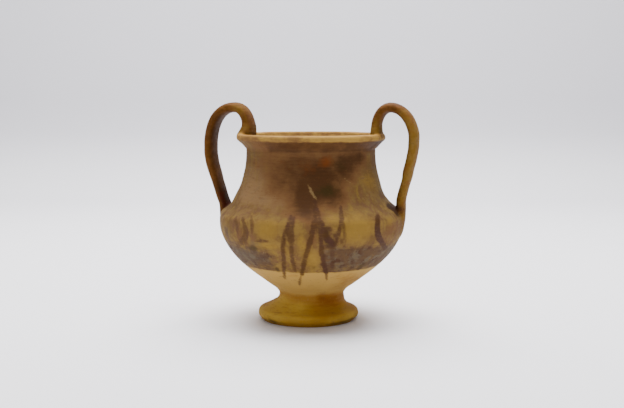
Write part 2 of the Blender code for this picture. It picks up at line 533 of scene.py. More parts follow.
@dataclass(frozen=True)
class Warp:
    """How the hand left the cup out of true, in millimetres along the camera's right.

    The foot was set a little to the left and its upper side tips, the shoulder and neck lean, and
    each handle swings in its own way. Heights and the shifts there go in pairs.
    """

    lean_heights: tuple = (0.0, 8.5, 16.5, 78.0, 87.0, 97.0, 128.0, 134.0, 150.0)
    lean_shifts: tuple = (-2.1, -2.1, 0.1, 0.2, -1.0, -0.4, -0.4, 0.3, 0.3)
    swing_heights: tuple = (76.0, 98.0, 106.0, 113.0, 121.0, 130.0, 140.0, 150.0)
    left_swing: tuple = (-1.9, -1.85, -1.8, -1.5, -0.9, -0.6, -0.6, -0.1)
    right_swing: tuple = (0.5, -0.4, -1.2, -1.2, -0.8, -0.1, -0.2, -0.8)
    foot_tip: float = 0.3
    swells: tuple = (
        (99.0, 8.0, 0.6), (65.0, 7.0, 0.4), (21.5, 2.4, 0.7), (10.6, 0.45, -0.3), (13.4, 0.5, -0.32),
        (18.6, 0.45, -0.28), (25.4, 0.5, -0.18), (39.4, 0.5, -0.14), (123.4, 0.5, -0.2),
    )
    unevenness: float = 0.16
    uneven_length: float = 34.0
    uneven_seed: int = 5

    def apply(self, points: Array, outside: Array) -> Array:
        """Shift points by a smooth field of their place.

        Args:
            points: Places in millimetres, one row each.
            outside: Outward unit vectors there.

        Returns:
            The shifted places.
        """
        x, z = points[:, 0], points[:, 2]
        turn, radius = facing(points)
        lean = eased(z, self.lean_heights, self.lean_shifts)
        left = eased(z, self.swing_heights, self.left_swing)
        right = eased(z, self.swing_heights, self.right_swing)
        swing = smoothstep(50.0, 63.0, np.abs(x)) * smoothstep(76.0, 92.0, z)
        level = mix(lean, np.where(x < 0, left, right), swing)
        camera_turn = np.radians(CAMERA_TURN)
        uneven = self.unevenness * waves(points, self.uneven_length, self.uneven_seed)
        moved = points + outside * uneven[:, None]
        moved[:, 0] += level * math.cos(camera_turn)
        moved[:, 1] += level * math.sin(camera_turn)
        on_body = 1.0 - smoothstep(62.0, 65.0, radius)
        for height, reach, amount in self.swells:
            swell = amount * np.exp(-(((z - height) / reach) ** 2)) * on_body
            moved[:, :2] *= (1.0 + swell / np.maximum(radius, 20.0))[:, None]
        tip = smoothstep(0.6, 5.0, z) * (1.0 - smoothstep(10.5, 14.0, z))
        moved[:, 2] += -self.foot_tip * np.sin(np.radians(turn)) * tip
        moved[:, 2] = np.where(z < 0.05, points[:, 2], moved[:, 2])
        return moved


class Paint(Enum):
    """What the painter, the fire and the soil left on the clay, and the painted shade in the joints and
    on the far rim, each with its own attribute.
    """

    SLIP = "slip"
    HAZE = "haze"
    RUST = "rust"
    OLIVE = "olive"
    OCHRE = "ochre"
    VIOLET = "violet"
    ASH = "ash"
    FIRE = "fire"
    GOLD = "gold"
    BAND = "band"
    BRUSH = "brush"
    BRUSH_STRENGTH = "brush_strength"
    SCRATCH = "scratch"
    # Soil with painted shade in the joints, and lip wear with painted shade on the far rim
    SOIL_AND_SHADE = "soil_and_shade"
    LIP_WEAR_AND_SHADE = "lip_wear_and_shade"
    STRAP = "strap"
    INSIDE = "inside"


# Paints that lie in soft patches alone
AREAS = (
    Paint.HAZE, Paint.RUST, Paint.OLIVE, Paint.OCHRE, Paint.VIOLET, Paint.ASH, Paint.FIRE, Paint.GOLD,
)


@dataclass(frozen=True)
class Stroke:
    """One brush stroke on the outside: points of turn in degrees and height in millimetres."""

    points: tuple
    width: float
    strength: float = 1.0
    taper: float = 0.5


@dataclass(frozen=True)
class Patch:
    """A soft oval area of colour: its middle in turn and height, its half sizes and strength."""

    turn: float
    height: float
    half_turn: float
    half_height: float
    strength: float = 1.0


@dataclass(frozen=True)
class Painting:
    """Where the paint lies on the body's outside."""

    body: Body
    strokes: tuple = (
        Stroke(
            ((-13, 79), (-14.4, 73), (-16.7, 63), (-17.8, 54), (-19.4, 46), (-22.8, 38.3), (-26, 33.5)),
            2.8,
            0.82,
        ),
        Stroke(((-11, 79), (-11, 66), (-12.2, 57), (-12.8, 48), (-12.4, 40)), 2.8, 0.74),
        Stroke(((-12.5, 78), (-12.6, 69), (-12.6, 61)), 4.6, 0.75, 0.7),
        Stroke(
            ((3, 88), (1.8, 77), (0.6, 69.4), (-1.1, 61.7), (-3.3, 53.9), (-5.6, 45), (-8.3, 37.5)),
            3.4,
            0.84,
            0.3,
        ),
        Stroke(((-8, 38.5), (-11.7, 32), (-14.2, 28)), 1.6, 0.75, 0.7),
        Stroke(
            ((3.6, 88), (4.2, 75), (5, 66), (5.8, 57), (7, 50), (9.2, 44), (12, 38.6)), 3.3, 0.86, 0.3
        ),
        Stroke(((10, 42), (12.4, 37), (14.6, 33)), 1.8, 0.8, 0.7),
        Stroke(((6, 75), (7, 69), (8.6, 65), (11, 62.5), (13.6, 59.5)), 4.6, 0.86, 0.5),
        Stroke(((13.4, 59), (15.4, 66), (16.7, 73), (19.2, 79), (21.8, 84)), 2.8, 0.8, 0.5),
        Stroke(((8, 60), (12, 58), (14, 50), (15, 43)), 3.0, 0.5, 0.5),
        Stroke(((8.6, 71.5), (11, 70)), 2.8, 0.7, 0.4),
        Stroke(((12, 67), (15.4, 65)), 2.4, 0.75, 0.4),
        Stroke(((17.4, 63.4), (18.4, 60.8)), 2.0, 0.6, 0.4),
        Stroke(((19, 74), (19.4, 66), (20, 57)), 1.9, 0.65),
        Stroke(
            ((46.5, 77.5), (42.4, 74), (41.6, 68), (43.6, 63), (48.2, 58.5), (57.5, 53)), 5.0, 0.95, 0.6
        ),
        Stroke(
            ((-47, 76), (-43, 70.5), (-42, 65), (-44.5, 61.5), (-50.5, 58), (-55.5, 54.5)), 4.8, 0.62, 0.6
        ),
        Stroke(((-40.5, 77), (-37.4, 72), (-37, 66)), 3.0, 0.5, 0.7),
        Stroke(((-54, 76), (-50.5, 70), (-50, 64)), 3.2, 0.45, 0.7),
        Stroke(((-36, 61), (-31, 61.6), (-26, 61.8)), 2.1, 0.8, 0.6),
        Stroke(((8, 57), (30, 56), (52, 57)), 1.5, 0.35),
        Stroke(((-66, 57), (-46, 58.5), (-28, 57)), 1.6, 0.35),
        Stroke(((17, 49), (24, 47.5), (33, 49)), 1.6, 0.45),
        Stroke(((30, 43), (36, 41), (42, 40.5)), 1.6, 0.45),
        Stroke(((112, 80), (107, 71), (110, 61), (118, 56)), 3.6, 0.7),
        Stroke(((146, 84), (143, 70), (138, 56), (132, 41)), 3.1, 0.7, 0.4),
        Stroke(((149, 84), (153, 70), (156, 56), (162, 40)), 3.1, 0.65, 0.5),
        Stroke(((-168, 80), (-165, 70), (-159, 64), (-155, 72)), 2.9, 0.6),
        Stroke(((-134, 79), (-130, 70), (-132, 60), (-138, 55)), 3.8, 0.6),
    )
    scratches: tuple = (
        Stroke(((-2.5, 97.5), (0.5, 93.5), (3, 90), (5.5, 87)), 1.3, 1.0, 0.8),
        Stroke(((-1.5, 93), (2.5, 92)), 0.7, 1.0, 0.6),
        Stroke(((28, 101), (33, 98)), 0.5, 0.6, 0.8),
        Stroke(((-33, 52), (-29, 57)), 0.5, 0.6, 0.8),
        Stroke(((-158, 108), (-150, 101)), 0.7, 0.8, 0.8),
    )
    slip: tuple = (
        Patch(9, 104, 18, 12, 1.0), Patch(-20, 105, 22, 13, 0.7), Patch(-44, 112, 18, 9, 0.35),
        Patch(12, 91, 15, 7, 0.85), Patch(-10, 90, 14, 8, 0.4), Patch(-12, 80, 8, 6, 0.4),
        Patch(1, 85, 6, 6, 0.38), Patch(36, 114, 20, 8, 0.85), Patch(25, 88, 9, 6, 0.4),
        Patch(34, 105, 14, 8, 0.5), Patch(16, 83, 8, 4, 0.4), Patch(-32, 94, 12, 8, 0.3),
        Patch(-48, 66, 10, 8, 0.35), Patch(58, 66, 12, 7, 0.55), Patch(1, 66, 5, 10, 0.4),
        Patch(-10, 114, 24, 6, 0.3), Patch(-5.5, 86, 6, 11, 0.6), Patch(-30, 79, 20, 3, 0.25),
        Patch(32, 100, 9, 5, 0.25), Patch(-1, 78, 6, 4, 0.45), Patch(11, 66, 5, 6, 0.35),
        Patch(48, 114, 8, 5, 0.45), Patch(120, 102, 34, 13, 0.7), Patch(165, 106, 30, 13, 0.85),
        Patch(-150, 100, 26, 13, 0.75), Patch(-110, 108, 22, 12, 0.5), Patch(82, 112, 20, 9, 0.5),
    )
    haze: tuple = (
        Patch(-52, 99, 22, 13, 0.8), Patch(-46, 89, 26, 7, 0.8), Patch(-24, 87, 12, 6, 0.6),
        Patch(50, 96, 16, 8, 0.2), Patch(130, 86, 34, 9, 0.6), Patch(-160, 84, 26, 8, 0.5),
    )
    rust: tuple = (
        Patch(14, 112, 8, 4.5, 0.8), Patch(-2, 108, 9, 7, 0.45), Patch(-56, 110, 10, 7, 0.45),
        Patch(-24, 110, 16, 7, 0.35), Patch(-50, 60, 8, 5, 0.4), Patch(38, 73, 8, 6, 0.25),
        Patch(150, 110, 14, 6, 0.6), Patch(-130, 62, 12, 6, 0.4),
    )
    olive: tuple = (
        Patch(13, 93, 12, 5, 0.85), Patch(26, 110, 14, 7, 0.5), Patch(8.5, 67, 3, 6, 0.8),
        Patch(12.5, 61, 4, 3.5, 0.7), Patch(39.5, 42.5, 5, 3, 0.7), Patch(1.8, 44, 3, 2, 0.6),
        Patch(-38, 56, 7, 2.5, 0.7), Patch(-27, 41.5, 3, 3, 0.6), Patch(60, 63, 6, 4, 0.5),
        Patch(-67, 80, 8, 3.5, 0.5), Patch(-64, 64, 7, 5, 0.45), Patch(60, 83, 12, 5, 0.35),
        # The patches at 2.2 to 2.5 mm height make the foot darker along its resting edge
        Patch(-46, 2.2, 26, 2.0, 0.7), Patch(44, 2.2, 26, 2.0, 0.75), Patch(70, 6, 10, 4, 0.4),
        Patch(-155, 95, 16, 6, 0.6), Patch(125, 64, 14, 6, 0.4), Patch(160, 2.5, 40, 2.4, 0.6),
    )
    ochre: tuple = (
        Patch(27, 70, 13, 11, 1.0), Patch(-6, 62, 3, 7, 0.8), Patch(54, 71, 4, 5, 0.8),
        Patch(-27, 69, 9, 8, 0.95), Patch(0, 50, 7, 9, 0.85), Patch(-30, 58, 12, 2.4, 0.85),
        Patch(-14.8, 54, 2.2, 4, 0.6), Patch(-64, 70, 7, 5, 0.5), Patch(11, 77, 5, 4, 0.7),
        Patch(-22, 44, 5, 4, 0.4), Patch(60, 97, 14, 9, 0.65), Patch(44, 100, 12, 6, 0.3),
        Patch(135, 70, 16, 9, 0.7), Patch(-146, 62, 12, 8, 0.6), Patch(-115, 74, 10, 7, 0.5),
    )
    violet: tuple = (
        Patch(-52, 70, 8, 7, 0.7), Patch(-38, 63, 6, 6, 0.6), Patch(-36, 80, 26, 4, 0.45),
        Patch(49, 66, 6, 7, 0.5), Patch(2, 78, 16, 4, 0.5), Patch(0, 64, 4, 6, 0.5),
        Patch(12, 62, 6, 6, 0.6), Patch(36, 83, 12, 3, 0.55), Patch(62, 70, 4, 5, 0.7),
        Patch(12, 47, 6, 8, 0.7), Patch(-5, 89, 5, 8, 0.5), Patch(-14, 40, 6, 3, 0.5),
        Patch(38, 57, 12, 3, 0.4), Patch(55, 60, 8, 4, 0.5), Patch(-60, 58, 10, 4, 0.4),
        Patch(-36, 106, 8, 8, 0.35), Patch(-10, 112, 14, 6, 0.35), Patch(126, 58, 14, 5, 0.5),
        Patch(-165, 88, 14, 6, 0.5),
    )
    ash: tuple = (
        Patch(-16, 118.5, 14, 3.5, 0.8), Patch(62, 119, 16, 6, 0.7), Patch(-62, 119, 16, 4, 0.4),
        Patch(-62, 64, 9, 7, 0.6), Patch(-36, 59, 7, 3.5, 0.5), Patch(-50, 50, 22, 8, 0.7),
        Patch(66, 50, 14, 9, 0.6), Patch(170, 118, 20, 4, 0.6),
        Patch(100, 50, 22, 9, 0.5), Patch(-120, 50, 24, 9, 0.5),
    )
    fire: tuple = (
        Patch(38, 15, 30, 6, 0.8), Patch(14, 19, 12, 4, 0.4), Patch(44, 31, 32, 9, 0.5),
        Patch(-46, 19, 18, 4, 0.25), Patch(-14, 37, 10, 3, 0.3), Patch(-140, 18, 34, 8, 0.7),
        Patch(150, 30, 30, 8, 0.4), Patch(-100, 13, 26, 6, 0.6), Patch(100, 15, 24, 6, 0.6),
    )
    gold: tuple = (
        Patch(-66, 10, 36, 8, 1.1), Patch(-26, 7, 24, 5, 0.4), Patch(60, 6, 22, 5, 0.7),
        Patch(-19, 12, 17, 4, 0.55), Patch(-2, 6, 14, 4, 0.3), Patch(28, 4.5, 14, 2.5, 0.4),
        Patch(120, 8, 26, 6, 0.6), Patch(-150, 6, 20, 4, 0.5),
    )
    # Brown smudges along the lip, the broad one at the back being painted shade on the far rim, and the
    # bare places between them
    lip_smudges_and_shade: tuple = (
        Patch(-55, 126, 15, 9, 1.0), Patch(-12, 126, 8, 9, 0.75), Patch(180, 126, 60, 9, 0.3),
    )
    lip_bright: tuple = (Patch(27, 126, 13, 9, 1.0), Patch(4, 126, 9, 9, 0.4))
    # Painted shade, with some soil, beside the lower ends of the handles
    wedge_shade_and_soil: tuple = (
        Patch(69, 77, 6.0, 5.5, 1.0), Patch(-74, 76, 5.0, 4.5, 0.7), Patch(91, 77, 4.0, 4.0, 0.4),
    )
    # Places on a stroke that its bends are evened out over
    smoothing: int = 9
    # Millimetres around a stroke beyond which nothing is painted
    search: float = 8.0

    def on_surface(self, stroke: Stroke, count: int = 56) -> tuple[Array, Array]:
        """Lay a stroke's middle line on the outer surface, with its bends evened out.

        Args:
            stroke: The stroke.
            count: Number of places along it.

        Returns:
            Places in millimetres, and half the stroke's width there.
        """
        points = np.array(stroke.points, float)
        share = np.linspace(0.0, 1.0, len(points))
        fine = np.linspace(0.0, 1.0, count)
        turn, height = (np.interp(fine, share, points[:, axis]) for axis in (0, 1))
        kernel = np.ones(self.smoothing) / self.smoothing
        ends = self.smoothing // 2
        turn, height = (np.convolve(np.pad(run, ends, "edge"), kernel, "valid") for run in (turn, height))
        outer = self.body.outer_side()
        radius = np.interp(height, outer[:, 1], outer[:, 0])
        angle = np.radians(turn + CAMERA_TURN)
        places = np.column_stack([radius * np.sin(angle), -radius * np.cos(angle), height])
        swell = 1.0 - stroke.taper * np.abs(2.0 * fine - 1.0) ** 2
        return places, stroke.width / 2 * swell

    def depth_in(self, points: Array, strokes: tuple) -> tuple[Array, Array]:
        """How deep points lie inside strokes: the greatest of half width - distance.

        Args:
            points: Places in millimetres, one row each.
            strokes: Strokes to look at.

        Returns:
            Depth inside the nearest stroke in millimetres, below 0 outside it, and its strength.
        """
        depth = np.full(len(points), NO_PAINT)
        strength = np.zeros(len(points))
        for stroke in strokes:
            places, half = self.on_surface(stroke)
            low, high = places.min(axis=0) - self.search, places.max(axis=0) + self.search
            near = np.flatnonzero(((points > low) & (points < high)).all(axis=1))
            gap = np.sqrt(((points[near, None] - places[None]) ** 2).sum(axis=2))
            inside = (half[None] - gap).max(axis=1)
            strength[near] = np.where(inside > depth[near], stroke.strength, strength[near])
            depth[near] = np.maximum(depth[near], inside)
        return depth, strength

    def patches(self, points: Array, areas: tuple) -> Array:
        """Sum of soft ovals exp(-(dt/a)^2 - (dz/b)^2) over turn and height, within 0 and 1.2.

        Args:
            points: Places in millimetres, one row each.
            areas: Patches to add up.

        Returns:
            Strength at each place.
        """
        turn, _ = facing(points)
        total = np.zeros(len(points))
        for area in areas:
            away = (turn - area.turn + 180.0) % 360.0 - 180.0
            oval = (away / area.half_turn) ** 2 + ((points[:, 2] - area.height) / area.half_height) ** 2
            total += area.strength * np.exp(-oval)
        return np.clip(total, 0.0, 1.2)

    def dark_slip(self, points: Array) -> Array:
        """Strength of the dark slip: the greater of its patches and the strip under the lip.

        Args:
            points: Places in millimetres, one row each.

        Returns:
            Strength at each place.
        """
        turn, _ = facing(points)
        strip = smoothstep(114.0, 119.0, points[:, 2]) * (1.0 - 0.65 * smoothstep(30.0, 60.0, -turn))
        return np.maximum(self.patches(points, self.slip), strip)

    def lip_wear_and_shade(self, points: Array) -> Array:
        """Strength of the wear along the lip, with painted shade at the back: more where it is smudged,
        less where it is bright.

        Args:
            points: Places in millimetres, one row each.

        Returns:
            Strength at each place.
        """
        smudges_and_shade, bright = self.patches(points, self.lip_smudges_and_shade), self.patches(points, self.lip_bright)
        return 0.62 + 0.3 * smudges_and_shade - 0.42 * bright

    def band(self, points: Array) -> Array:
        """Strength of the belly's band: full between its edges, faint at the front's middle.

        Its lower edge is level, and its upper edge is a sine of the turn.

        Args:
            points: Places in millimetres, one row each.

        Returns:
            Strength at each place.
        """
        turn, _ = facing(points)
        height = points[:, 2]
        along = eased(turn, (-180, -33, -20, 1, 12, 180), (1.0, 1.0, 0.2, 0.15, 1.0, 1.0))
        top = 57.0 + 2.0 * np.sin(np.radians(turn * 3.0 + 40.0))
        thin = mix(0.72, 1.0, smoothstep(41.0, 47.0, height))
        below_top = 1.0 - smoothstep(top - 5.0, top + 5.0, height)
        return smoothstep(38.9, 40.1, height) * below_top * along * thin


def link(tree: bpy.types.NodeTree, value: Any, socket: bpy.types.NodeSocket) -> None:
    """Give a socket a link or a plain value.

    Args:
        tree: Node tree that the socket is in.
        value: A shader value or a plain one.
        socket: The socket.
    """
    if isinstance(value, Socket):
        tree.links.new(value.socket, socket)
    else:
        socket.default_value = value


class Socket:
    """A shader value whose Python operators add Math nodes."""

    def __init__(self, shader: "Shader", socket: bpy.types.NodeSocket) -> None:
        """Keep the socket and the shader it belongs to."""
        self.shader = shader
        self.socket = socket

    def __add__(self, other: Any) -> "Socket":
        """Sum."""
        return self.shader.math("ADD", self, other)

    __radd__ = __add__

    def __sub__(self, other: Any) -> "Socket":
        """Difference."""
        return self.shader.math("SUBTRACT", self, other)

    def __rsub__(self, other: Any) -> "Socket":
        """Difference from a number."""
        return self.shader.math("SUBTRACT", other, self)

    def __mul__(self, other: Any) -> "Socket":
        """Product."""
        return self.shader.math("MULTIPLY", self, other)

    __rmul__ = __mul__

    def between(self, low: float, high: float) -> "Socket":
        """0 at low, 1 at high, 3t^2 - 2t^3 between them, and held beyond.

        Args:
            low: Value that becomes 0.
            high: Value that becomes 1.

        Returns:
            The new value.
        """
        settings = {"interpolation_type": "SMOOTHSTEP"}
        values = {"Value": self, "From Min": low, "From Max": high}
        return self.shader.node("ShaderNodeMapRange", settings, values, "Result")


class Shader:
    """Builds one material's nodes."""

    def __init__(self, name: str) -> None:
        """Make an empty material with a Principled BSDF.

        Args:
            name: The material's name.
        """
        self.material = bpy.data.materials.new(name)
        self.material.use_nodes = True
        self.tree = self.material.node_tree
        self.principled = self.tree.nodes["Principled BSDF"]
        self.principled.inputs["Specular IOR Level"].default_value = 0.1
        self.place = self.node("ShaderNodeTexCoord", {}, {}, "Object")
        parts = self.node("ShaderNodeSeparateXYZ", {}, {"Vector": self.place}, "Z")
        self.height = parts * (1.0 / MM)

    def node(self, kind: str, settings: dict, values: dict, output: str) -> Socket:
        """Add a node.

        Args:
            kind: The node's type name.
            settings: Its properties, set first.
            values: Links or plain values by socket identifier or name.
            output: Identifier or name of the output wanted.

        Returns:
            That output.
        """
        node = self.tree.nodes.new(kind)
        for key, value in settings.items():
            setattr(node, key, value)
        for key, value in values.items():
            socket = next(s for s in node.inputs if s.identifier == key)
            link(self.tree, value, socket)
        return Socket(self, next(s for s in node.outputs if s.identifier == output))

    def math(self, operation: str, first: Any, second: Any = 0.0) -> Socket:
        """A Math node."""
        values = {"Value": first, "Value_001": second}
        return self.node("ShaderNodeMath", {"operation": operation}, values, "Value")

    def attribute(self, name: str) -> Socket:
        """A number kept on the piece's vertices."""
        return self.node("ShaderNodeAttribute", {"attribute_name": name}, {}, "Fac")

    def noise(self, size: float, stretch: float = 1.0, detail: float = 4.0, shift: float = 0.0) -> Socket:
        """Noise about 0.5.

        Args:
            size: Size of its grains in millimetres.
            stretch: Over 1 draws the grains out level, under 1 upright.
            detail: Octaves of finer grains.
            shift: Offset in metres that makes each noise another one.

        Returns:
            The noise.
        """
        values = {"Vector": self.place, "Location": (shift, shift, shift), "Scale": (1.0, 1.0, stretch)}
        place = self.node("ShaderNodeMapping", {}, values, "Vector")
        grain = {"Vector": place, "Scale": 1.0 / (size * MM), "Detail": detail, "Roughness": 0.6}
        return self.node("ShaderNodeTexNoise", {}, grain, "Fac")

    def blend(self, factor: Any, low: Any, high: Any) -> Socket:
        """Mix of two colours."""
        values = {"Factor_Float": factor, "A_Color": low, "B_Color": high}
        return self.node("ShaderNodeMix", {"data_type": "RGBA"}, values, "Result_Color")

    def bump(self, height: Socket, distance: float) -> Socket:
        """Bump from a height of 0 to 1 over a distance in millimetres."""
        values = {"Height": height, "Distance": distance * MM, "Strength": 1.0}
        return self.node("ShaderNodeBump", {}, values, "Normal")

    def finish(self, **sockets: Any) -> bpy.types.Material:
        """Feed the Principled BSDF.

        Args:
            sockets: Values by socket name, with underscores for its spaces.

        Returns:
            The material.
        """
        for key, value in sockets.items():
            link(self.tree, value, self.principled.inputs[key.replace("_", " ")])
        return self.material


class ClayShader(Shader):
    """Shader with the clay's grains, which make the edges of its paints ragged."""

    def __init__(self, name: str) -> None:
        """Add the grains, from broad to fine.

        Args:
            name: The material's name.
        """
        super().__init__(name)
        self.broad = self.noise(38)
        self.patchy = self.noise(11, 1.3, 5, 1)
        self.mottle = self.noise(5, 1, 5, 5)
        self.level = self.noise(6, 6, 5, 2)
        self.upright = self.noise(3.4, 0.2, 4, 6)
        self.grain = self.noise(1.8, 1.2, 6, 3)
        self.fine = self.noise(0.7, 1, 5, 4)

    def kept(self, paint: Paint) -> Socket:
        """A paint's number on the vertices."""
        return self.attribute(paint.value)

    def roughen(self, value: Socket, **amounts: float) -> Socket:
        """Make a value uneven: value + the sum of (grain - 0.5) * amount.

        Args:
            value: The value.
            amounts: Amounts by the grains' names.

        Returns:
            The uneven value.
        """
        for grain, amount in amounts.items():
            value = value + (getattr(self, grain) - 0.5) * amount
        return value

    def lay(
        self, under: Socket, over: Any, paint: Paint, edges: tuple, share: float, **amounts: float
    ) -> Socket:
        """Lay a colour over another where a paint is.

        Args:
            under: Colour below.
            over: Colour of the layer.
            paint: The paint that says where the layer is.
            edges: Strengths at which the layer begins and is full.
            share: How much the full layer covers.
            amounts: How much each grain named roughens the layer's edge.

        Returns:
            The colour with the layer on it.
        """
        strength = self.roughen(self.kept(paint), **amounts).between(*edges)
        return self.blend(strength * share, under, over)


def srgb(red: int, green: int, blue: int) -> tuple[float, float, float, float]:
    """Linear colour of a screen's colour: ((v + 0.055) / 1.055)^2.4, or v / 12.92 if dark.

    Args:
        red: Red, 0 to 255.
        green: Green, 0 to 255.
        blue: Blue, 0 to 255.

    Returns:
        Red, green, blue and alpha, 0 to 1.
    """
    values = [v / 255.0 for v in (red, green, blue)]
    linear = [v / 12.92 if v <= 0.04045 else ((v + 0.055) / 1.055) ** 2.4 for v in values]
    return (*linear, 1.0)


@dataclass(frozen=True)
class WornClay:
    """Finish of the cup: ochre clay, thin brown wash, dark slip, brush strokes, fire, and soil with
    painted shade in the joints.
    """

    ochre: tuple = srgb(127, 98, 38)
    violet: tuple = srgb(82, 54, 42)
    umber: tuple = srgb(80, 46, 7)
    amber: tuple = srgb(154, 110, 26)
    gold: tuple = srgb(182, 146, 54)
    stem: tuple = srgb(142, 100, 36)
    tan: tuple = srgb(166, 131, 66)
    wash: tuple = srgb(116, 90, 43)
    dim: tuple = srgb(84, 60, 33)
    shoulder: tuple = srgb(102, 79, 42)
    lip: tuple = srgb(154, 119, 54)
    grip: tuple = srgb(108, 78, 22)
    inner: tuple = srgb(150, 112, 54)
    haze: tuple = srgb(120, 92, 60)
    brown: tuple = srgb(102, 70, 40)
    dark: tuple = srgb(64, 38, 14)
    # Dark brown and maroon of the painted shade, with some soil, in the joints
    soil_shade_dark: tuple = srgb(46, 22, 8)
    maroon: tuple = srgb(60, 16, 3)
    purple: tuple = srgb(76, 55, 38)
    ash: tuple = srgb(86, 74, 58)
    chestnut: tuple = srgb(98, 60, 20)
    rust: tuple = srgb(104, 50, 6)
    olive: tuple = srgb(46, 36, 6)
    brush: tuple = srgb(60, 34, 25)
    burnt: tuple = srgb(114, 61, 4)
    pale: tuple = srgb(176, 148, 96)

    def bare_clay(self, s: ClayShader) -> Socket:
        """Colour of the clay: amber foot and paler bowl, with gold and burnt places.

        Args:
            s: The material's shader.

        Returns:
            The colour.
        """
        height = s.roughen(s.height, level=3)
        clay = s.blend(height.between(10.5, 15.5), self.amber, self.stem)
        clay = s.lay(clay, self.gold, Paint.GOLD, (0.05, 0.95), 1.0, patchy=0.6, level=0.5)
        clay = s.blend(s.level.between(0.48, 0.66) * 0.45, clay, self.stem)
        clay = s.blend(height.between(18.5, 22), clay, self.tan)
        return s.lay(clay, self.burnt, Paint.FIRE, (0.15, 0.95), 0.85, patchy=0.7, level=0.5)

    def thin_wash(self, s: ClayShader) -> Socket:
        """Colour of the brown wash, dim and violet in places, with ochre showing through.

        Args:
            s: The material's shader.

        Returns:
            The colour.
        """
        high = s.roughen(s.height, patchy=10).between(72, 78)
        wash = s.blend(high, self.wash, self.shoulder)
        wash = s.blend(s.patchy.between(0.42, 0.6) * 0.8, wash, self.dim)
        wash = s.blend(s.upright.between(0.5, 0.62) * 0.6, wash, self.violet)
        wash = s.blend((1.0 - s.upright).between(0.54, 0.66) * 0.5, wash, self.ochre)
        wash = s.lay(wash, self.ochre, Paint.OCHRE, (0.2, 0.95), 0.85, upright=1.3, mottle=0.8)
        return s.lay(wash, self.violet, Paint.VIOLET, (0.15, 0.9), 0.85, mottle=1.2, level=0.6)

    def haze_and_band(self, s: ClayShader, colour: Socket) -> Socket:
        """Add the haze, clouds on the neck, the belly's band and ashy places.

        Args:
            s: The material's shader.
            colour: Colour below.

        Returns:
            The colour with them on it.
        """
        colour = s.lay(colour, self.haze, Paint.HAZE, (0.1, 1.0), 0.85, mottle=1.6, level=0.6)
        clouds = (s.mottle * 0.5 + s.level * 0.5).between(0.5, 0.6) * s.height.between(82, 90)
        cloud = s.blend(s.patchy.between(0.45, 0.55), self.ash, self.dim)
        colour = s.blend(clouds * 0.4, colour, cloud)
        flecks = s.blend(s.mottle.between(0.42, 0.6), self.ash, self.brush)
        tint = s.blend(s.patchy.between(0.44, 0.58), self.purple, flecks)
        colour = s.lay(colour, tint, Paint.BAND, (0.15, 0.95), 0.9, mottle=1.5, level=1.1)
        return s.lay(colour, self.ash, Paint.ASH, (0.25, 0.9), 0.7, mottle=0.9)

    def dark_slip(self, s: ClayShader, colour: Socket, thin: Socket, thick: Socket) -> Socket:
        """Add the slip, brown where thin and dark where thick, with rust and olive places.

        Args:
            s: The material's shader.
            colour: Colour below.
            thin: 1 where there is slip.
            thick: 1 where it is thick.

        Returns:
            The colour with the slip on it.
        """
        colour = s.blend(thin * 0.9, colour, self.brown)
        colour = s.blend(thick * 0.95, colour, self.dark)
        colour = s.lay(colour, self.rust, Paint.RUST, (0.25, 0.9), 0.75, mottle=0.9)
        return s.lay(colour, self.olive, Paint.OLIVE, (0.25, 0.9), 0.75, mottle=0.9)

    def worn_lip(self, s: ClayShader) -> Socket:
        """Colour of the lip: bare clay with brown smudges and painted shade at the back, and a crest made
        warmer and darker as painted shade against the light from above.

        Args:
            s: The material's shader.

        Returns:
            The colour.
        """
        smudge_and_shade = s.roughen(s.kept(Paint.LIP_WEAR_AND_SHADE) * 0.7, mottle=0.9, level=0.6)
        lip = s.blend(smudge_and_shade.between(0.2, 0.7) * 0.9, self.lip, self.brown)
        # Painted shade on the crest: warmer and darker against the light it catches from above
        return s.blend(s.height.between(127.2, 128.4) * 0.7, lip, s.blend(0.5, lip, self.amber))

    def inner_clay(self, s: ClayShader) -> Socket:
        """Colour of the inner side: bare clay with a little variation.

        Args:
            s: The material's shader.

        Returns:
            The colour.
        """
        bare = s.blend(s.level.between(0.42, 0.62) * 0.6, self.inner, self.amber)
        return s.blend(s.patchy.between(0.5, 0.7) * 0.5, bare, self.stem)

    def handles(self, s: ClayShader, thin: Socket, thick: Socket) -> Socket:
        """Colour of the handles: rubbed clay under thin and thick slip.

        Args:
            s: The material's shader.
            thin: 1 where there is slip.
            thick: 1 where it is thick.

        Returns:
            The colour.
        """
        grip = s.blend(s.mottle.between(0.4, 0.62) * 0.6, self.grip, self.wash)
        grip = s.blend(s.patchy.between(0.5, 0.62) * 0.3, grip, self.rust)
        grip = s.blend(thin, grip, s.blend(s.mottle.between(0.42, 0.6), self.umber, self.chestnut))
        grip = s.blend(thick * 0.7, grip, self.dark)
        return s.blend((s.grain * 0.5 + s.mottle * 0.5).between(0.54, 0.62) * 0.35, grip, self.olive)

    def material(self) -> bpy.types.Material:
        """Build the material, layer on layer from the bare clay up.

        Returns:
            The material.
        """
        s = ClayShader("worn_painted_clay")
        strap, inside = s.kept(Paint.STRAP), s.kept(Paint.INSIDE)
        edge = s.roughen(s.height, patchy=2.0, grain=0.8)
        washed = edge.between(39.2, 40.4)
        cover = washed * (0.94 - s.mottle.between(0.52, 0.7) * 0.12)
        colour = self.haze_and_band(s, s.blend(cover, self.bare_clay(s), self.thin_wash(s)))

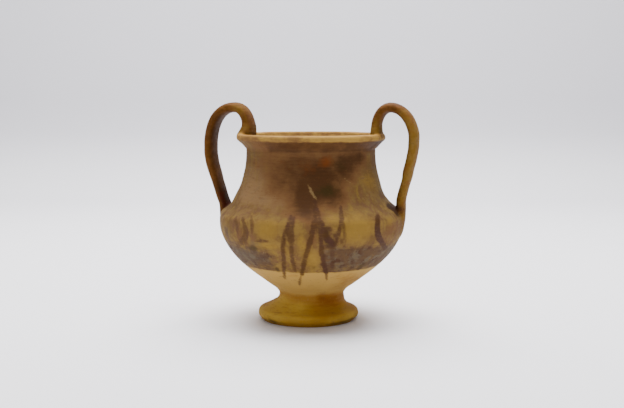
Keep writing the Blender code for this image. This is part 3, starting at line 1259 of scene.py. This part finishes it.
        slip = s.roughen(s.kept(Paint.SLIP), patchy=0.6, mottle=0.5, level=0.3)
        thin, thick = slip.between(0.1, 0.65), slip.between(0.5, 1.2)
        colour = self.dark_slip(s, colour, thin, thick)
        brush = s.roughen(s.kept(Paint.BRUSH), grain=1.6, mottle=2.2).between(-0.8, 0.7)
        brush = brush * s.kept(Paint.BRUSH_STRENGTH) * (1.0 - s.level.between(0.5, 0.68) * 0.35)
        colour = s.blend(brush, colour, s.blend(s.patchy.between(0.42, 0.6), self.brush, self.dark))

        lip = edge.between(124.0, 125.3) * (1.0 - strap)
        colour = s.blend(inside, colour, self.inner_clay(s))
        colour = s.blend(lip, colour, self.worn_lip(s))
        colour = s.blend(strap, colour, self.handles(s, thin, thick))
        # Painted shade, with some soil, in the joints and on the left strap: dark brown on the body,
        # maroon on the strap
        soil_and_shade = s.roughen(s.kept(Paint.SOIL_AND_SHADE), mottle=1.0, grain=0.8).between(0.3, 1.1)
        deep = s.blend(strap * (1.0 - s.patchy.between(0.45, 0.6)), self.soil_shade_dark, self.maroon)
        colour = s.blend(soil_and_shade * (1.0 - lip) * 0.9, colour, deep)

        colour = s.lay(colour, self.pale, Paint.SCRATCH, (-0.5, 0.5), 0.38, fine=1.6, grain=1.2)
        chips = (s.grain * 0.55 + s.fine * 0.45).between(0.58, 0.66)
        colour = s.blend(chips * 0.3, colour, s.blend(washed, self.pale, self.wash))
        speck = s.noise(1.3, 1, 3, 7).between(0.66, 0.71)
        colour = s.blend(speck * 0.5, colour, self.dark)

        painted = s.math("MAXIMUM", thick, brush)
        roughness = s.roughen(0.8 - painted * 0.14, grain=0.25)
        rings = s.math("SINE", s.height * (math.tau / 2.3) + s.broad * 9.0) * 0.5 + 0.5
        relief = rings * 0.10 + s.grain * 0.26 + s.fine * 0.14 + s.level * 0.2
        relief = relief + painted * 0.10 - chips * 0.2
        return s.finish(Base_Color=colour, Roughness=roughness, Normal=s.bump(relief, 0.5))


@dataclass(frozen=True)
class Zones:
    """Parts of the cup's surface, with one number for each vertex.

    Attributes:
        strap: 1 on the handles.
        inside: 1 on the inner side.
        share: Share of the handle's path from lip to belly.
        soil_and_shade: 1 where soil and painted shade sit in the joints and on the left strap's lower
            inner face, less beside them and at the lip's ends.
        seam: 1 in the joints of body and handles.
        further: Distance in millimetres from whichever of body and strap is further off.
    """

    strap: Array
    inside: Array
    share: Array
    soil_and_shade: Array
    seam: Array
    further: Array


@dataclass
class Cup:
    """The whole cup: body and handles united, set out of true, painted and dressed."""

    body: Body = field(default_factory=Body)
    warp: Warp = field(default_factory=Warp)
    # Radius of the rounded joints in millimetres
    fillet: float = 4.5
    # Millimetres from the middle plane beyond which the handles lie
    strap_from: float = 34.0
    # Half depth in millimetres of the space that a handle lies in
    strap_half: float = 19.0
    # Points compared with the whole profile at one time
    batch: int = 20000

    def handles(self) -> tuple[Handle, Handle]:
        """Shape both handles, the right one drawn a little finer.

        Returns:
            The right handle and the left one.
        """
        right = Handle(
            self.body,
            1,
            root_width=16.0,
            root_thickness=7.0,
            landing_width=15.0,
            landing_thickness=6.5,
            splay_width=4.0,
            splay_thickness=0.6,
        )
        return right, Handle(self.body, -1)

    def unite(self) -> bpy.types.Object:
        """Unite body and handles with exact Boolean unions and keep the resulting mesh.

        Returns:
            The cup.
        """
        cup = self.body.surface().build("painted_cup")
        handles = [handle.surface().build("strap") for handle in self.handles()]
        for handle in handles:
            union = cup.modifiers.new("Unite", "BOOLEAN")
            union.operation = "UNION"
            union.solver = "EXACT"
            union.object = handle
        bpy.context.view_layer.update()
        evaluated = cup.evaluated_get(bpy.context.evaluated_depsgraph_get())
        mesh = bpy.data.meshes.new_from_object(evaluated)
        cup.modifiers.clear()
        cup.data = mesh
        for handle in handles:
            bpy.data.objects.remove(handle, do_unlink=True)
        return cup

    def on_body(self, points: Array) -> tuple[Array, Array]:
        """How far points are from the body's profile, by radius and height.

        Args:
            points: Places in millimetres, one row each.

        Returns:
            Distance from the nearest point of the profile, and 1 where that is on the inner side.
        """
        profile = self.body.profile()
        lip = int(profile[:, 1].argmax())
        flat = np.column_stack([np.hypot(points[:, 0], points[:, 1]), points[:, 2]])
        gap = np.empty(len(points))
        nearest = np.empty(len(points), int)
        for start in range(0, len(points), self.batch):
            part = slice(start, start + self.batch)
            squares = ((flat[part, None] - profile[None]) ** 2).sum(axis=2)
            nearest[part] = squares.argmin(axis=1)
            gap[part] = np.sqrt(squares.min(axis=1))
        return gap, (nearest < lip).astype(float)

    def soften(self, mesh: bpy.types.Mesh, points: Array, seam: Array, rounds: int = 14) -> Array:
        """Round the seams: each vertex moves towards the mean of its neighbours.

        Args:
            mesh: Mesh that gives the edges.
            points: Places of its vertices, one row each.
            seam: How strongly each vertex moves, 0 to 1.
            rounds: How often this is done.

        Returns:
            The new places.
        """
        edges = np.empty(len(mesh.edges) * 2, int)
        mesh.edges.foreach_get("vertices", edges)
        first, second = edges.reshape(-1, 2).T
        count = np.bincount(first, minlength=len(points)) + np.bincount(second, minlength=len(points))
        for _ in range(rounds):
            total = np.zeros_like(points)
            for axis in range(3):
                total[:, axis] = np.bincount(first, points[second, axis], len(points))
                total[:, axis] += np.bincount(second, points[first, axis], len(points))
            mean = total / np.maximum(count, 1)[:, None]
            points = mix(points, mean, 0.5 * seam[:, None])
        return points

    def read(self, mesh: bpy.types.Mesh, name: str) -> Array:
        """Read one of the vectors of each vertex.

        Args:
            mesh: The mesh.
            name: The vector's name, co or normal.

        Returns:
            The vectors, one row each.
        """
        values = np.empty(len(mesh.vertices) * 3)
        mesh.vertices.foreach_get(name, values)
        return values.reshape(-1, 3)

    def keep(self, mesh: bpy.types.Mesh, name: str, values: Array) -> None:
        """Store a number for each vertex as an attribute.

        Args:
            mesh: The mesh.
            name: The attribute's name.
            values: The numbers.
        """
        attribute = mesh.attributes.new(name, "FLOAT", "POINT")
        attribute.data.foreach_set("value", values.astype(np.float32))

    def strap_slip(self, points: Array, share: Array) -> Array:
        """Strength of the slip along the handles, worn towards the straps' edges.

        Args:
            points: Places in millimetres, one row each.
            share: Share of the handle's path from lip to belly.

        Returns:
            Strength at each place.
        """
        stops = (0.0, 0.07, 0.13, 0.2, 0.27, 0.34, 0.42, 0.55, 0.7, 0.85, 1.0)
        left = (0.1, 0.4, 0.65, 0.5, 0.75, 1.0, 0.95, 0.8, 0.85, 0.9, 0.9)
        right = (0.1, 0.2, 0.45, 0.8, 0.9, 0.4, 0.25, 0.25, 0.25, 0.3, 0.5)
        worn = 0.2 * smoothstep(7.0, 9.8, np.abs(points[:, 1]))
        return np.where(points[:, 0] < 0, eased(share, stops, left), eased(share, stops, right)) - worn

    def zones(self, points: Array) -> Zones:
        """Tell the parts of the surface apart by the distances from body and handles.

        Args:
            points: Places in millimetres, one row each.

        Returns:
            The zones.
        """
        off_body, inside = self.on_body(points)
        off_strap = np.full(len(points), FAR)
        share, towards_loop = np.zeros(len(points)), np.zeros(len(points))
        aside, across = points[:, 0], np.abs(points[:, 1])
        for handle in self.handles():
            near = np.flatnonzero((aside * handle.side > self.strap_from) & (across < self.strap_half))
            gap, share[near], towards_loop[near] = handle.nearest(points[near])
            off_strap[near] = np.abs(gap)
        strap = smoothstep(-0.5, 0.5, off_body - off_strap)
        inside = inside * (1.0 - strap)
        seam = (1.0 - smoothstep(1.0, 4.0, off_body)) * (1.0 - smoothstep(1.0, 4.0, off_strap))
        further = np.maximum(off_body, off_strap)
        inner_side = 1.0 - smoothstep(59.5, 61.5, np.abs(aside))
        # Painted shade, with some soil, in the wedges between the lower ends of the handles and the
        # shoulder
        joint_shade_and_soil = (1.0 - smoothstep(2.0, 8.0, further)) * smoothstep(0.7, 0.8, share) * inner_side
        joint_shade_and_soil = joint_shade_and_soil * smoothstep(72.0, 77.0, points[:, 2])
        # Painted shade on the lower part of the left strap, on its face towards the loop
        left_strap_shade = strap * (aside < 0) * smoothstep(0.62, 0.82, share) * smoothstep(-0.7, 0.4, towards_loop)
        painting = Painting(self.body)
        joint_shade_and_soil = joint_shade_and_soil + 0.95 * left_strap_shade + painting.patches(points, painting.wedge_shade_and_soil) * (1.0 - inside)
        # Darker on the lip and the neck's top towards the handles and on the left
        dull = np.maximum(smoothstep(38.0, 49.0, np.abs(aside)), 0.75 * smoothstep(4.0, 34.0, -aside))
        lip_ends = smoothstep(116.0, 125.0, points[:, 2]) * dull * (1.0 - strap)
        soil_and_shade = np.maximum(joint_shade_and_soil, 0.6 * lip_ends * (1.0 - inside))
        return Zones(strap, inside, share, soil_and_shade, seam, further)

    def paint(self, mesh: bpy.types.Mesh, points: Array, zones: Zones) -> None:
        """Work out and store where each paint lies.

        Args:
            mesh: The united mesh.
            points: Its vertices before they are set out of true, in millimetres.
            zones: Parts of its surface.
        """
        painting = Painting(self.body)
        skin = (1.0 - zones.inside) * (1.0 - zones.strap)
        depth, strength = painting.depth_in(points, painting.strokes)
        scratch, _ = painting.depth_in(points, painting.scratches)
        on_strap = self.strap_slip(points, zones.share)
        fields = {
            Paint.SLIP: np.where(zones.strap > 0.5, on_strap, painting.dark_slip(points) * skin),
            Paint.BAND: painting.band(points) * skin,
            Paint.BRUSH: np.where(skin > 0.5, depth, NO_PAINT),
            Paint.BRUSH_STRENGTH: strength,
            Paint.SCRATCH: np.where(skin > 0.5, scratch, NO_PAINT),
            Paint.SOIL_AND_SHADE: zones.soil_and_shade,
            Paint.LIP_WEAR_AND_SHADE: painting.lip_wear_and_shade(points),
            Paint.STRAP: zones.strap,
            Paint.INSIDE: zones.inside,
        }
        for paint in AREAS:
            fields[paint] = painting.patches(points, getattr(painting, paint.value)) * skin
        for paint, values in fields.items():
            self.keep(mesh, paint.value, values)

    def build(self) -> bpy.types.Object:
        """Build the cup's mesh with its paint stored on it.

        Returns:
            The cup.
        """
        cup = self.unite()
        mesh = cup.data
        points, normals = self.read(mesh, "co") / MM, self.read(mesh, "normal")
        zones = self.zones(points)
        self.paint(mesh, points, zones)
        lift = np.maximum(self.fillet - zones.further, 0.0) ** 2 / (4.0 * self.fillet)
        points = self.soften(mesh, points + normals * lift[:, None], zones.seam)
        points = self.warp.apply(points, normals)
        mesh.vertices.foreach_set("co", (points * MM).ravel())
        mesh.shade_smooth()
        mesh.update()
        return cup

    def dress(self, cup: bpy.types.Object) -> None:
        """Give the cup its finish and tie it to the frame.

        Args:
            cup: The cup.
        """
        cup.data.materials.clear()
        cup.data.materials.append(WornClay().material())
        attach(cup, "root")
        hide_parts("cup")


@dataclass(frozen=True)
class Studio:
    """Pale sweep, soft lights and the camera, in metres."""

    eye_distance: float = 0.68929
    eye_height: float = 0.15157
    eye_aside: float = 0.00035
    look_down: float = 5.94
    lens: float = 57.69
    floor_back: float = 0.92
    floor_near: float = -1.2
    floor_half_width: float = 2.6
    cove: float = 0.10
    wall_top: float = 2.2

    def to_world(self, right: Any, away: Any, height: Any) -> tuple[Any, Any, Any]:
        """Turn places given from the camera's side into the scene's.

        x = r cos a - d sin a and y = r sin a + d cos a, with a the camera's turn.

        Args:
            right: Distance to the camera's right.
            away: Distance away from the camera, past the axis.
            height: Height.

        Returns:
            X, Y and Z.
        """
        turn = math.radians(CAMERA_TURN)
        x = right * math.cos(turn) - away * math.sin(turn)
        y = right * math.sin(turn) + away * math.cos(turn)
        return x, y, height

    def sweep(self) -> bpy.types.Object:
        """Build the backdrop: a level floor, a quarter circle and a wall, carried along a straight line.

        Returns:
            The backdrop.
        """
        angle = np.linspace(0.0, math.pi / 2, 24)
        bend = self.floor_back - self.cove + self.cove * np.sin(angle)
        away = np.concatenate([[self.floor_near], bend])
        height = np.concatenate([[0.0], self.cove - self.cove * np.cos(angle)])
        away, height = np.append(away, self.floor_back), np.append(height, self.wall_top)
        aside = np.tile((-self.floor_half_width, self.floor_half_width), len(away))
        places = np.column_stack(self.to_world(aside, np.repeat(away, 2), np.repeat(height, 2)))
        first = 2 * np.arange(len(away) - 1)
        faces = np.column_stack([first, first + 1, first + 3, first + 2])
        mesh = bpy.data.meshes.new("studio_sweep")
        mesh.from_pydata(places.tolist(), [], faces.tolist())
        mesh.shade_smooth()
        sweep = bpy.data.objects.new("studio_sweep", mesh)
        bpy.context.scene.collection.objects.link(sweep)
        shader = Shader("pale_paper")
        # Painted shade: the paper darkens from the floor to 160 mm up the wall
        wall_shade = shader.height.between(0.0, 160.0)
        colour = shader.blend(wall_shade, srgb(236, 235, 239), srgb(206, 205, 210))
        mesh.materials.append(shader.finish(Base_Color=colour, Roughness=0.9))
        return sweep

    def lamp(self, name: str, place: tuple, aim: tuple, size: float, power: float) -> None:
        """Add a square soft light.

        Args:
            name: Name of the light and of its object.
            place: Its place, to the camera's right, away from the camera and up.
            aim: The place that it is turned to, given in the same way.
            size: Its side in metres.
            power: Its power in watts.
        """
        light = bpy.data.lights.new(name, "AREA")
        light.size = size
        light.energy = power
        lamp = bpy.data.objects.new(name, light)
        lamp.location = self.to_world(*place)
        way = np.array(self.to_world(*aim)) - np.array(lamp.location)
        lamp.rotation_euler = (
            math.pi / 2 - math.atan2(-way[2], math.hypot(way[0], way[1])),
            0.0,
            math.atan2(-way[0], way[1]),
        )
        bpy.context.scene.collection.objects.link(lamp)

    def lights(self) -> None:
        """Soft light from above on both sides, and an even pale surround."""
        self.lamp("overhead_softbox", (0.0, 0.21, 1.08), (0.0, 0.02, 0.0), 1.05, 48.0)
        self.lamp("front_fill", (-0.25, -1.6, 0.75), (0.0, 0.0, 0.08), 1.2, 7.0)
        world = bpy.data.worlds.new("pale_surround")
        bpy.context.scene.world = world
        world.use_nodes = True
        background = world.node_tree.nodes["Background"]
        background.inputs["Color"].default_value = srgb(238, 238, 242)
        background.inputs["Strength"].default_value = 0.32

    def camera(self) -> None:
        """The camera where the photograph was taken."""
        data = bpy.data.cameras.new("camera")
        data.lens = self.lens
        data.clip_start = 0.02
        camera = bpy.data.objects.new("camera", data)
        camera.location = self.to_world(self.eye_aside, -self.eye_distance, self.eye_height)
        camera.rotation_euler = (math.radians(90.0 - self.look_down), 0.0, math.radians(CAMERA_TURN))
        bpy.context.scene.collection.objects.link(camera)
        bpy.context.scene.camera = camera

    def build(self) -> None:
        """Set up backdrop, lights and camera."""
        self.camera()
        self.sweep()
        self.lights()


def main() -> None:
    """Build the studio and the cup, and report the piece."""
    logging.basicConfig(level=logging.INFO, format="%(name)s: %(message)s")
    Studio().build()
    maker = Cup()
    cup = maker.build()
    maker.dress(cup)
    LOG.info("%s: %d vertices, %d faces", cup.name, len(cup.data.vertices), len(cup.data.polygons))


if __name__ == "__main__":
    main()
